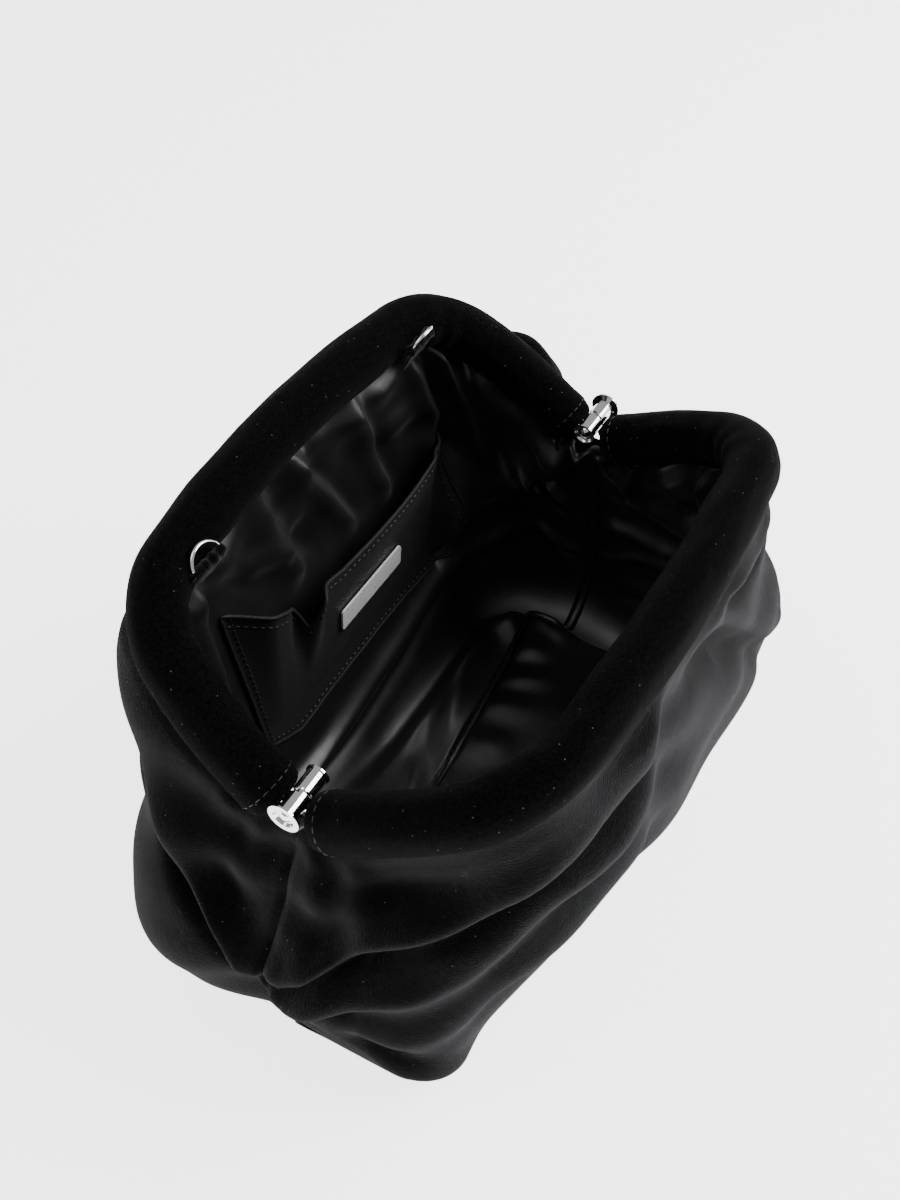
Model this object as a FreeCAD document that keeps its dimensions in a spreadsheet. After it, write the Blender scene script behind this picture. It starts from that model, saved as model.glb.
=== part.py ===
"""Padded-frame velvet clutch purse, open and standing on its base.

Millimetres.  Origin: middle of the base, on the surface that the purse stands on.
+X runs along the hinge line, -Y is the front, +Z is up.  The two frames turn about one
line through both hinges, at the height hinge_height.
"""
import FreeCAD, Part
import math
import os
import Sketcher

V = FreeCAD.Vector
X_AXIS = V(1, 0, 0)
FRONT = -1
REAR = 1

SIZES = {
    # hinges
    "hinge_spacing": 220, "hinge_height": 128.6, "front_open": 59, "rear_open": 52.2,
    "barrel_radius": 3.9, "barrel_half": 10.5, "flange_radius": 6.1, "rim_radius": 4.5,
    "dish_radius": 3.3, "dish_depth": 1.2, "knuckle_gap": 0.05, "pin_radius": 1.5,
    "pin_clearance": 0.05, "head_radius": 2.6, "head_height": 1.3, "head_play": 0.2,
    "arm_radius": 1.5, "arm_shift": 1.3, "arm_root": 2.75, "arm_bend": 4.5,
    "spigot_depth": 8, "notch_depth": 1.1, "notch_radius": 2.3, "notch_margin": 36,
    # bracket-shaped frames: a crowned bar, two corners and two slightly bowed legs
    "leg_start": 7, "bar_rise": 89.9, "bar_bend": 500, "corner_bend": 37,
    "corner_centre": 67.2, "roll_offset": 11.5, "roll_radius": 10.4, "sleeve_wall": 0.9,
    "tube_radius": 3, "tube_bore": 1.8, "lay_gap": 0.1,
    "magnet_radius": 4, "magnet_thick": 2.5, "magnet_spread": 25, "magnet_inset": 5.8,
    # strap rings and their tabs
    "ring_x": 70, "ring_reach": 75, "ring_inset": 3, "ring_bend": 7.3, "ring_wire": 0.85,
    "ring_corner": 1.5, "left_lean": 26, "right_lean": 80, "tab_width": 9,
    "tab_half_thick": 1.1, "tab_eye": 2.3, "tab_play": 0.3, "tab_length": 9, "tab_drop": 2.1,
    # soft body
    "velvet_wall": 1.2, "stiffener_wall": 0.6, "lining_wall": 0.6, "layer_gap": 0.3,
    "rim_gap": 0.6,
    # slip pocket and its plate
    "pocket_left": -60, "pocket_right": 90, "pocket_low": 43, "pocket_high": 118,
    "pocket_wall": 0.8, "pocket_face_low": 59.4, "pocket_face_high": 56.5,
    "plate_x": 22.5, "plate_z": 76, "plate_length": 46, "plate_height": 11,
    "plate_thick": 0.9, "post_radius": 0.9, "post_spread": 17, "backing_thick": 0.5,
}

doc = FreeCAD.newDocument("clutch_purse")
sheet = doc.addObject("Spreadsheet::Sheet", "sizes")
for row, (alias, value) in enumerate(SIZES.items(), start=1):
    sheet.set(f"A{row}", alias)
    sheet.set(f"B{row}", str(value))
    sheet.setAlias(f"B{row}", alias)
doc.recompute()

nodes = {}


def size(alias):
    """The value of one driving dimension, read from the sheet."""
    return float(getattr(sheet, alias))


def add_node(shape_object, name):
    """Give a finished sub-part its name, which is also the name of its file."""
    shape_object.Label = name
    nodes[name] = shape_object
    return shape_object


# ---------------------------------------------------------------- small sketch helpers

def new_body(name):
    return doc.addObject("PartDesign::Body", name)


def sketch_on(body, role, name, offset=None):
    """A sketch on one of the body's own origin planes, moved by an offset."""
    plane = next(item for item in body.Origin.OriginFeatures if item.Role == role)
    sketch = body.newObject("Sketcher::SketchObject", name)
    sketch.AttachmentSupport = [(plane, "")]
    sketch.MapMode = "FlatFace"
    if offset is not None:
        sketch.AttachmentOffset = offset
    return sketch


def shifted(x, y, z):
    return FreeCAD.Placement(V(x, y, z), FreeCAD.Rotation())


def circle(sketch, formula):
    """A circle about the sketch's own origin, its radius bound to the sheet."""
    edge = sketch.addGeometry(Part.Circle(V(0, 0, 0), V(0, 0, 1), 1), False)
    sketch.addConstraint(Sketcher.Constraint("Coincident", edge, 3, -1, 1))
    bound = sketch.addConstraint(Sketcher.Constraint("Radius", edge, 1))
    sketch.setExpression(f"Constraints[{bound}]", formula)


def outline(sketch, points):
    """A closed outline of straight edges."""
    for first, second in zip(points, points[1:] + points[:1]):
        sketch.addGeometry(Part.LineSegment(V(*first, 0), V(*second, 0)), False)


def arc(centre, radius, start, end):
    return Part.ArcOfCircle(Part.Circle(V(*centre, 0), V(0, 0, 1), radius), start, end)


# ---------------------------------------------------------------- frames in their own plane
# In a frame's own coordinates X runs along the hinge line, Y from the hinge line towards
# the bar, and Z is square to the frame.  The rolls lie to the outside of the hinge line,
# which is +Z on the front frame and -Z on the rear one.

def frame_placement(side):
    opening = size("rear_open") if side == REAR else size("front_open")
    turn = FreeCAD.Rotation(X_AXIS, 90 - side * opening)
    return FreeCAD.Placement(V(0, 0, size("hinge_height")), turn)


def leg_geometry():
    """Radius of a leg's bow and the angle at which it runs into the corner."""
    across = size("hinge_spacing") / 2 - size("corner_centre")
    corner_y = corner_height()
    up = corner_y - size("leg_start")
    bend = size("corner_bend")
    radius = (across**2 + up**2 - bend**2) / (2 * (across - bend))
    centre_x = size("hinge_spacing") / 2 - radius
    angle = math.atan2(up, size("corner_centre") - centre_x)
    return radius, centre_x, angle


def corner_height():
    """Height of a corner's centre, where the corner meets the bar in one smooth curve."""
    reach = size("bar_bend") - size("corner_bend")
    rise = math.sqrt(reach**2 - size("corner_centre")**2)
    return size("bar_rise") - size("bar_bend") + rise


def bracket_path(body, side):
    """The frame's centre line: leg, corner, bar, corner, leg, all tangent."""
    height = -side * size("roll_offset")
    path = sketch_on(body, "XY_Plane", body.Name + "_path", shifted(0, 0, height))
    leg_radius, leg_x, leg_angle = leg_geometry()
    corner_x = size("corner_centre")
    corner_y = corner_height()
    bend = size("corner_bend")
    bar_y = size("bar_rise") - size("bar_bend")
    meet = math.atan2(corner_y - bar_y, corner_x)
    start_y = size("leg_start")
    pieces = [
        arc((leg_x, start_y), leg_radius, 0, leg_angle),
        arc((corner_x, corner_y), bend, leg_angle, meet),
        arc((0, bar_y), size("bar_bend"), meet, math.pi - meet),
        arc((-corner_x, corner_y), bend, math.pi - meet, math.pi - leg_angle),
        arc((-leg_x, start_y), leg_radius, math.pi - leg_angle, math.pi),
    ]
    for piece in pieces:
        path.addGeometry(piece, False)
    for first in range(len(pieces) - 1):
        path.addConstraint(Sketcher.Constraint("Tangent", first, 2, first + 1, 1))
    bound = {
        "bar_bend": Sketcher.Constraint("Radius", 2, size("bar_bend")),
        "corner_bend": Sketcher.Constraint("Radius", 1, bend),
        "corner_centre": Sketcher.Constraint("DistanceX", -1, 1, 1, 3, corner_x),
    }
    for alias, constraint in bound.items():
        index = path.addConstraint(constraint)
        path.setExpression(f"Constraints[{index}]", f"sizes.{alias}")
    return path


def bracket_pipe(name, side, formulas):
    """A round section, solid or hollow, run along the frame's centre line."""
    body = new_body(name)
    path = bracket_path(body, side)
    start = shifted(size("hinge_spacing") / 2, -side * size("roll_offset"), -size("leg_start"))
    section = sketch_on(body, "XZ_Plane", name + "_section", start)
    for formula in formulas:
        circle(section, formula)
    pipe = body.newObject("PartDesign::AdditivePipe", name + "_pipe")
    pipe.Profile = section
    pipe.Spine = path
    body.Tip = pipe
    body.Placement = frame_placement(side)
    return body


def magnet_places(side):
    """Centres of the closing magnets, just under the cloth that meets the other frame."""
    bar_y = size("bar_rise") - size("bar_bend")
    spread = size("magnet_spread")
    along = bar_y + math.sqrt(size("bar_bend")**2 - spread**2)
    height = -side * (size("roll_offset") - size("magnet_inset"))
    return [V(end * spread, along, height) for end in (-1, 1)]


def magnet_discs(side):
    radius = size("magnet_radius")
    thick = size("magnet_thick")
    discs = [Part.makeCylinder(radius, thick, place - V(0, 0, thick / 2), V(0, 0, 1))
             for place in magnet_places(side)]
    return Part.makeCompound(discs)


def foam_roll(name, side):
    """Soft padding around the tube, with a pocket for each magnet."""
    whole = bracket_pipe(name + "_whole", side,
                         ["sizes.roll_radius - sizes.sleeve_wall - sizes.lay_gap",
                          "sizes.tube_radius + sizes.lay_gap"])
    tools = doc.addObject("Part::Feature", name + "_magnet_pockets")
    tools.Shape = magnet_discs(side)
    tools.Placement = frame_placement(side)
    cut = doc.addObject("Part::Cut", name)
    cut.Base = whole
    cut.Tool = tools
    return add_node(cut, name)


def frame_parts(side, word):
    add_node(bracket_pipe(word + "_frame_tube", side,
                          ["sizes.tube_radius", "sizes.tube_bore"]), word + "_frame_tube")
    foam_roll(word + "_foam_roll", side)
    add_node(bracket_pipe(word + "_frame_sleeve", side,
                          ["sizes.roll_radius", "sizes.roll_radius - sizes.sleeve_wall"]),
             word + "_frame_sleeve")
    magnets = doc.addObject("Part::Feature", word + "_closing_magnets")
    magnets.Shape = magnet_discs(side)
    magnets.Placement = frame_placement(side)
    add_node(magnets, word + "_closing_magnets")


# ---------------------------------------------------------------- hinges

def knuckle_outline(outer):
    """Half section of a knuckle, as distance from the junction and radius."""
    length = size("barrel_half")
    gap = size("knuckle_gap")
    rim = size("flange_radius") if outer else size("rim_radius")
    flare = 1.7 if outer else 1.2
    lip = 0.7
    bore = size("pin_radius") + (0 if outer else size("pin_clearance"))
    floor = length - size("dish_depth")
    return [
        (gap, bore), (gap, size("barrel_radius")), (length - flare, size("barrel_radius")),
        (length - lip, rim), (length, rim), (length, size("dish_radius") + lip),
        (floor, size("dish_radius")), (floor, bore),
    ]


def knuckle(name, side, end, outer):
    """A turned knuckle with the bent arm that carries one leg of its frame."""
    body = new_body(name)
    hinge_x = end * size("hinge_spacing") / 2
    away = end if outer else -end
    turned = sketch_on(body, "XY_Plane", name + "_section")
    outline(turned, [(hinge_x + away * along, radius) for along, radius in knuckle_outline(outer)])
    barrel = body.newObject("PartDesign::Revolution", name + "_barrel")
    barrel.Profile = turned
    barrel.ReferenceAxis = (turned, ["H_Axis"])
    barrel.Angle = 360
    doc.recompute()
    before = barrel.Shape.Volume

    swing = size("front_open") + size("rear_open")
    middle = 180 - side * (90 - swing / 2)
    seat = FreeCAD.Placement(V(0, 0, 0), FreeCAD.Rotation(X_AXIS, middle))
    notch_sketch = sketch_on(body, "XY_Plane", name + "_notch_section", seat)
    depth = size("notch_depth")
    reach = size("barrel_radius") + 1
    low = size("notch_radius")
    outline(notch_sketch, [(hinge_x - away * 1, low), (hinge_x + away * depth, low),
                           (hinge_x + away * depth, reach), (hinge_x - away * 1, reach)])
    notch = body.newObject("PartDesign::Groove", name + "_notch")
    notch.Profile = notch_sketch
    notch.ReferenceAxis = (notch_sketch, ["H_Axis"])
    notch.Angle = swing + 2 * size("notch_margin")
    notch.Midplane = True
    doc.recompute()
    if notch.Shape.Volume > before - 1:
        raise RuntimeError(name + ": the notch removed nothing")

    # The arm starts on its own side of the junction and leans to meet the middle of the tube.
    arm_x = hinge_x + away * size("arm_shift")
    out = -side
    bend = size("arm_bend")
    offset = math.hypot(size("roll_offset"), size("arm_shift"))
    lean = -away * out * math.degrees(math.asin(size("arm_shift") / offset))
    path_seat = FreeCAD.Placement(V(0, 0, arm_x), FreeCAD.Rotation(V(1, 0, 0), lean))
    path = sketch_on(body, "YZ_Plane", name + "_arm_path", path_seat)
    path.addGeometry(Part.LineSegment(V(0, out * size("arm_root"), 0),
                                      V(0, out * (offset - bend), 0)), False)
    turn = (math.pi / 2, math.pi) if out > 0 else (math.pi, 1.5 * math.pi)
    path.addGeometry(arc((bend, out * (offset - bend)), bend, *turn), False)
    path.addGeometry(Part.LineSegment(V(bend, out * offset, 0),
                                      V(size("leg_start") + size("spigot_depth"), out * offset, 0)),
                     False)
    tilt = FreeCAD.Rotation(V(0, 1, 0), lean)
    root = V(arm_x, 0, 0) + tilt.multVec(V(0, 0, out * size("arm_root")))
    section = sketch_on(body, "XY_Plane", name + "_arm_section", FreeCAD.Placement(root, tilt))
    circle(section, "sizes.arm_radius")
    arm = body.newObject("PartDesign::AdditivePipe", name + "_arm")
    arm.Profile = section
    arm.Spine = path
    body.Tip = arm
    body.Placement = frame_placement(side)
    add_node(body, name)


def hinge_pin(name, end):
    """A pin with a domed head in the dish at each end of the barrel."""
    body = new_body(name)
    sketch = sketch_on(body, "XY_Plane", name + "_section")
    hinge_x = size("hinge_spacing") / 2
    radius = size("pin_radius")
    head = size("head_radius")
    tall = size("head_height")
    floor = size("barrel_half") - size("dish_depth")
    low = hinge_x - floor - size("head_play")
    high = hinge_x + floor
    dome = (head**2 + tall**2) / (2 * tall)
    spread = math.asin(head / dome)
    straight = [V(low - tall, 0, 0), V(high + tall, 0, 0)]
    sketch.addGeometry(Part.LineSegment(end * straight[0], end * straight[1]), False)
    steps = [V(high, head, 0), V(high, radius, 0), V(low, radius, 0), V(low, head, 0)]
    for first, second in zip(steps, steps[1:]):
        sketch.addGeometry(Part.LineSegment(V(end * first.x, first.y, 0),
                                            V(end * second.x, second.y, 0)), False)
    for centre, outward in ((high + tall - dome, end), (low - tall + dome, -end)):
        angles = (0, spread) if outward > 0 else (math.pi - spread, math.pi)
        sketch.addGeometry(arc((end * centre, 0), dome, *angles), False)
    pin = body.newObject("PartDesign::Revolution", name + "_turned")
    pin.Profile = sketch
    pin.ReferenceAxis = (sketch, ["H_Axis"])
    pin.Angle = 360
    body.Tip = pin
    body.Placement = frame_placement(FRONT)
    add_node(body, name)


def hinges():
    for end, word in ((-1, "left"), (1, "right")):
        knuckle(word + "_outer_knuckle", FRONT, end, True)
        knuckle(word + "_inner_knuckle", REAR, end, False)
        hinge_pin(word + "_hinge_pin", end)


# ---------------------------------------------------------------- strap rings and tabs

def ring_centre(end):
    return V(end * size("ring_x"), size("ring_reach"), -size("ring_inset"))


def strap_ring(name, end, lean):
    """A D-ring of round wire; lean is its angle from the frame's plane towards the front."""
    body = new_body(name)
    path = sketch_on(body, "XY_Plane", name + "_path")
    bend = size("ring_bend")
    corner = size("ring_corner")
    corner_x = math.sqrt((bend - corner)**2 - corner**2)
    meet = math.atan2(corner, corner_x)
    path.addGeometry(Part.LineSegment(V(-corner_x, 0, 0), V(corner_x, 0, 0)), False)
    path.addGeometry(arc((corner_x, corner), corner, -math.pi / 2, meet), False)
    path.addGeometry(arc((0, 0), bend, meet, math.pi - meet), False)
    path.addGeometry(arc((-corner_x, corner), corner, math.pi - meet, 1.5 * math.pi), False)
    section = sketch_on(body, "YZ_Plane", name + "_section", shifted(0, 0, -corner_x))
    circle(section, "sizes.ring_wire")
    pipe = body.newObject("PartDesign::AdditivePipe", name + "_wire")
    pipe.Profile = section
    pipe.Spine = path
    body.Tip = pipe
    turn = FreeCAD.Placement(ring_centre(end), FreeCAD.Rotation(X_AXIS, lean))
    body.Placement = frame_placement(REAR) * turn
    add_node(body, name)


def ring_tab(name, end):
    """A folded strip of velvet: an eye around the ring's bar and a tail under the roll."""
    body = new_body(name)
    profile = sketch_on(body, "YZ_Plane", name + "_profile")
    half = size("tab_half_thick")
    eye = size("tab_eye")
    tail = math.atan2(-size("tab_length"), -size("tab_drop"))
    spread = math.asin(half / eye)
    along = V(math.cos(tail), math.sin(tail), 0)
    across = V(-along.y, along.x, 0)
    neck = eye * math.cos(spread)
    corners = [along * neck - across * half, along * size("tab_length") - across * half,
               along * size("tab_length") + across * half, along * neck + across * half]
    for first, second in zip(corners, corners[1:]):
        profile.addGeometry(Part.LineSegment(first, second), False)
    profile.addGeometry(arc((0, 0), eye, tail + spread, tail + 2 * math.pi - spread), False)
    circle(profile, "sizes.ring_wire + sizes.tab_play")
    pad = body.newObject("PartDesign::Pad", name + "_strip")
    pad.Profile = profile
    pad.Midplane = True
    pad.setExpression("Length", "sizes.tab_width")
    body.Tip = pad
    body.Placement = frame_placement(REAR) * FreeCAD.Placement(ring_centre(end),
                                                              FreeCAD.Rotation())
    add_node(body, name)


def strap_fittings():
    for end, word, lean in ((-1, "left", "left_lean"), (1, "right", "right_lean")):
        strap_ring(word + "_d_ring", end, size(lean))
        ring_tab(word + "_ring_tab", end)


# ---------------------------------------------------------------- soft body
# Level sections of the purse: height, half length, front depth, rear depth, corner radius.
SECTIONS = [
    (0, 124, 57, 56, 32),
    (10, 131, 70, 63, 42),
    (45, 132, 90, 69, 52),
    (90, 126, 90, 75, 54),
    (125, 117, 88, 79, 50),
    (160, 110, 87, 83, 46),
]


def level_outline(height, half_length, front, rear, corner, inset):
    """A rounded rectangle at one height, drawn in from the outside by inset."""
    x = half_length - inset
    low = -(front - inset)
    high = rear - inset
    r = corner - inset
    turn = r * math.sqrt(0.5)
    path = []
    corners = ((x - r, low + r, 1, -1), (x - r, high - r, 1, 1),
               (-x + r, high - r, -1, 1), (-x + r, low + r, -1, -1))
    ends = []
    for cx, cy, sx, sy in corners:
        side_point = V(cx + sx * r, cy, height)
        level_point = V(cx, cy + sy * r, height)
        first, last = (level_point, side_point) if sx * sy < 0 else (side_point, level_point)
        middle = V(cx + sx * turn, cy + sy * turn, height)
        path.append(Part.Arc(first, middle, last).toShape())
        ends.append((first, last))
    edges = []
    for index, edge in enumerate(path):
        edges.append(edge)
        following = ends[(index + 1) % len(ends)][0]
        edges.append(Part.makeLine(ends[index][1], following))
    return Part.Wire(edges)


def filled_form(inset):
    """The purse as a filled form, drawn in by inset on its sides and its base."""
    wires = []
    for height, half_length, front, rear, corner in SECTIONS:
        level = max(height, inset)
        wires.append(level_outline(level, half_length, front, rear, corner, inset))
    return Part.makeLoft(wires, True, False)


def above_frame(side):
    """Everything above the plane on which one frame's roll lies."""
    reach = 400
    drop = size("roll_offset") + size("roll_radius") + size("rim_gap")
    block = Part.makeBox(reach, reach, reach, V(-reach / 2, -reach / 2, 0))
    if side == REAR:
        block.translate(V(0, 0, -drop))
    else:
        block.translate(V(0, 0, drop - reach))
    block.Placement = frame_placement(side) * block.Placement
    return block


def soft_panel(name, side, outside, thickness):
    """Half of one layer of the bag: one wall, half of each end and half of the base."""
    shell = filled_form(outside).cut(filled_form(outside + thickness))
    shell = shell.cut(above_frame(side))
    span = 400
    start = V(-span / 2, 0 if side == REAR else -span, -1)
    panel = doc.addObject("Part::Feature", name)
    panel.Shape = shell.common(Part.makeBox(span, span, span, start))
    panel.Placement = FreeCAD.Placement()
    return add_node(panel, name)


def soft_body():
    outside = 0
    for layer, wall in (("body_panel", "velvet_wall"), ("stiffener", "stiffener_wall"),
                        ("lining_panel", "lining_wall")):
        for side, word in ((FRONT, "front"), (REAR, "rear")):
            soft_panel(f"{word}_{layer}", side, outside, size(wall))
        outside += size(wall) + size("layer_gap")


# ---------------------------------------------------------------- pocket and plate

def pocket_face(height):
    """Y of the pocket's outer face, which leans away from the wall towards its top."""
    low = size("pocket_low")
    share = (height - low) / (size("pocket_high") - low)
    return size("pocket_face_low") + share * (size("pocket_face_high") - size("pocket_face_low"))


def pocket_prism(inset, depth, low, high):
    """A leaning slab behind the pocket's face, drawn in by inset from its outside."""
    left = size("pocket_left") + inset
    right = size("pocket_right") - inset
    corners = [V(left, pocket_face(low) + inset, low), V(left, pocket_face(high) + inset, high),
               V(left, depth, high), V(left, depth, low)]
    face = Part.Face(Part.makePolygon(corners + corners[:1]))
    return face.extrude(V(right - left, 0, 0))


def slip_pocket():
    """An open-topped patch of lining cloth sewn to the rear lining along three sides."""
    low = size("pocket_low")
    high = size("pocket_high")
    wall = size("pocket_wall")
    beyond = 200
    outer = pocket_prism(0, beyond, low, high)
    hollow = pocket_prism(wall, beyond, low + wall, high + wall)
    stack = sum(size(wall_name) for wall_name in ("velvet_wall", "stiffener_wall", "lining_wall"))
    inside = filled_form(stack + 3 * size("layer_gap"))
    shape = outer.cut(hollow).common(inside)
    for drill in post_drills(size("post_radius") + 0.1):
        shape = shape.cut(drill)
    pocket = doc.addObject("Part::Feature", "slip_pocket")
    pocket.Shape = shape
    add_node(pocket, "slip_pocket")


def plate_placement():
    """Middle of the plate's back, on the pocket's face and leaning with it."""
    low = size("pocket_low")
    rise = size("pocket_high") - low
    lean = math.degrees(math.atan2(pocket_face(low) - pocket_face(low + rise), rise))
    centre = V(size("plate_x"), pocket_face(size("plate_z")), size("plate_z"))
    return FreeCAD.Placement(centre, FreeCAD.Rotation(X_AXIS, 90 + lean))


def post_drills(radius):
    """A cylinder through the cloth at each of the plate's posts."""
    length = 10
    drills = []
    for end in (-1, 1):
        drill = Part.makeCylinder(radius, length, V(end * size("post_spread"), 0, -length / 2))
        drill.Placement = plate_placement() * drill.Placement
        drills.append(drill)
    return drills


def name_plate():
    """A blank rounded plate with two posts that pass through the pocket's cloth."""
    body = new_body("name_plate")
    face = sketch_on(body, "XY_Plane", "name_plate_face", shifted(0, 0, 0.1))
    half_length = size("plate_length") / 2
    half_height = size("plate_height") / 2
    outline(face, [(-half_length, -half_height), (half_length, -half_height),
                   (half_length, half_height), (-half_length, half_height)])
    pad = body.newObject("PartDesign::Pad", "name_plate_blank")
    pad.Profile = face
    pad.setExpression("Length", "sizes.plate_thick")
    doc.recompute()
    upright = [f"Edge{number}" for number, edge in enumerate(pad.Shape.Edges, start=1)
               if abs(edge.tangentAt(edge.FirstParameter).z) > 0.9]
    fillet = body.newObject("PartDesign::Fillet", "name_plate_corners")
    fillet.Base = (pad, upright)
    fillet.Radius = 1.5
    doc.recompute()
    posts = sketch_on(body, "XY_Plane", "name_plate_post_sections", shifted(0, 0, 0.2))
    for end in (-1, 1):
        posts.addGeometry(Part.Circle(V(end * size("post_spread"), 0, 0), V(0, 0, 1),
                                      size("post_radius")), False)
    post = body.newObject("PartDesign::Pad", "name_plate_posts")
    post.Profile = posts
    post.Reversed = True
    post.setExpression("Length", "0.2 + sizes.pocket_wall + 0.1 + sizes.backing_thick")
    body.Tip = post
    body.Placement = plate_placement()
    add_node(body, "name_plate")


def plate_backing():
    """A thin strip behind the cloth, held by the ends of the plate's posts."""
    body = new_body("plate_backing")
    back = -(size("pocket_wall") + 0.1)
    face = sketch_on(body, "XY_Plane", "plate_backing_face", shifted(0, 0, back))
    half_length = size("post_spread") + 3
    half_height = 2.5
    outline(face, [(-half_length, -half_height), (half_length, -half_height),
                   (half_length, half_height), (-half_length, half_height)])
    for end in (-1, 1):
        face.addGeometry(Part.Circle(V(end * size("post_spread"), 0, 0), V(0, 0, 1),
                                     size("post_radius")), False)
    pad = body.newObject("PartDesign::Pad", "plate_backing_strip")
    pad.Profile = face
    pad.Reversed = True
    pad.setExpression("Length", "sizes.backing_thick")
    body.Tip = pad
    body.Placement = plate_placement()
    add_node(body, "plate_backing")


# ---------------------------------------------------------------- build, check and write

def check_document():
    doc.recompute()
    for item in doc.Objects:
        if "Invalid" in item.State or "Error" in item.State:
            raise RuntimeError(f"{item.Name} is in state {item.State}")
    for name, item in nodes.items():
        shape = item.Shape
        if shape.isNull() or not shape.isValid() or not shape.Solids:
            raise RuntimeError(f"{name} has no valid solid")


frame_parts(FRONT, "front")
frame_parts(REAR, "rear")
hinges()
strap_fittings()
soft_body()
slip_pocket()
name_plate()
plate_backing()
check_document()

os.makedirs("parts", exist_ok=True)
for name, item in nodes.items():
    item.Shape.exportStep(f"parts/{name}.step")
    box = item.Shape.BoundBox
    print(f"{name:24s} solids {len(item.Shape.Solids)}  volume {item.Shape.Volume:10.1f}  "
          f"x {box.XMin:7.1f} {box.XMax:7.1f}  y {box.YMin:7.1f} {box.YMax:7.1f}  "
          f"z {box.ZMin:7.1f} {box.ZMax:7.1f}")
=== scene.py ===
import math

import bpy
import numpy as np
from mathutils import Matrix, Vector, noise
from mathutils.bvhtree import BVHTree


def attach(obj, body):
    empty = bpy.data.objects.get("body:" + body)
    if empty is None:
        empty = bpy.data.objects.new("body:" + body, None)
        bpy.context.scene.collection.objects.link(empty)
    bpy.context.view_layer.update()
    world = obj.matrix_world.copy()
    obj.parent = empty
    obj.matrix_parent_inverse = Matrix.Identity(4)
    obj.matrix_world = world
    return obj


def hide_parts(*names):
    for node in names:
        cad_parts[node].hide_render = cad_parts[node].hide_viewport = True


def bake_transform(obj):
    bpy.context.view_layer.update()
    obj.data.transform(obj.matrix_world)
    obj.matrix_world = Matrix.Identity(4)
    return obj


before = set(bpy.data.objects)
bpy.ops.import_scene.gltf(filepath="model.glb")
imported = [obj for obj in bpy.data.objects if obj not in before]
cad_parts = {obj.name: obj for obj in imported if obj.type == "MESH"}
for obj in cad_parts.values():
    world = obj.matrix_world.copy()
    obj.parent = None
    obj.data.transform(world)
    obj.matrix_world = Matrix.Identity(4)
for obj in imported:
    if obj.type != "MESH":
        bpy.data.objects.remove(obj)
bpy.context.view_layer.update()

MM = 0.001
FRONT = -1
REAR = 1

# ---------------------------------------------------------------- the frames, as in the CAD
HINGE = 128.6 * MM
OPEN = {FRONT: math.radians(59), REAR: math.radians(52.2)}
ROLL_OFFSET = 11.5 * MM
ROLL_RADIUS = 10.4 * MM
LEG_START = 7 * MM
BAR_RISE = 89.9 * MM
BAR_BEND = 500 * MM
CORNER_BEND = 37 * MM
CORNER_X = 67.2 * MM
HALF_SPAN = 110 * MM
BRACKET_STEP = 1.5 * MM


def bracket():
    """Points and outward normals of a frame's centre line, from the left leg to the right."""
    reach = BAR_BEND - CORNER_BEND
    corner_y = BAR_RISE - BAR_BEND + math.sqrt(reach**2 - CORNER_X**2)
    across = HALF_SPAN - CORNER_X
    up = corner_y - LEG_START
    leg = (across**2 + up**2 - CORNER_BEND**2) / (2 * (across - CORNER_BEND))
    leg_x = HALF_SPAN - leg
    leg_angle = math.atan2(up, CORNER_X - leg_x)
    bar_y = BAR_RISE - BAR_BEND
    meet = math.atan2(corner_y - bar_y, CORNER_X)
    arcs = [((-leg_x, LEG_START), leg, math.pi, math.pi - leg_angle),
            ((-CORNER_X, corner_y), CORNER_BEND, math.pi - leg_angle, math.pi - meet),
            ((0, bar_y), BAR_BEND, math.pi - meet, meet),
            ((CORNER_X, corner_y), CORNER_BEND, meet, leg_angle),
            ((leg_x, LEG_START), leg, leg_angle, 0)]
    points = []
    normals = []
    for (cx, cy), radius, start, end in arcs:
        count = max(3, round(radius * abs(end - start) / BRACKET_STEP))
        for step in range(count):
            angle = start + (end - start) * step / count
            points.append((cx + radius * math.cos(angle), cy + radius * math.sin(angle)))
            normals.append((math.cos(angle), math.sin(angle)))
    points.append((HALF_SPAN, LEG_START))
    normals.append((1.0, 0.0))
    return np.array(points), np.array(normals)


def placed(side, x, v, w):
    """Points drawn on an upright frame (x, height v, thickness w), turned to how it stands open."""
    s, c = math.sin(OPEN[side]), math.cos(OPEN[side])
    return np.stack([x, side * (v * s + w * c), HINGE + v * c - w * s], -1)


# ---------------------------------------------------------------- lines and grids
def lengths_along(line):
    return np.r_[0, np.cumsum(np.linalg.norm(np.diff(line, axis=0), axis=1))]


def resampled(line, count):
    """The same line with evenly spaced points."""
    far = lengths_along(line)
    at = np.linspace(0, far[-1], count)
    return np.stack([np.interp(at, far, line[:, k]) for k in range(line.shape[1])], -1)


def eased(line, times):
    """The same line with its bends softened, its ends kept."""
    line = line.copy()
    for _ in range(times):
        line[1:-1] = 0.25 * line[:-2] + 0.5 * line[1:-1] + 0.25 * line[2:]
    return line


def directions(line):
    along = np.gradient(line, axis=0)
    return along / np.linalg.norm(along, axis=1)[:, None]


def step_up(x, low, high):
    """A soft step from 0 at low to 1 at high."""
    x = np.clip((x - low) / (high - low), 0, 1)
    return x * x * (3 - 2 * x)


def hill(x, middle, half_width):
    """A soft hill of height 1."""
    return np.exp(-((x - middle) / half_width)**2)


def normals_of(grid, side):
    down = np.gradient(grid, axis=0)
    across = np.gradient(grid, axis=1)
    n = np.cross(across, down) * side
    return n / (np.linalg.norm(n, axis=-1)[..., None] + 1e-12)


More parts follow.
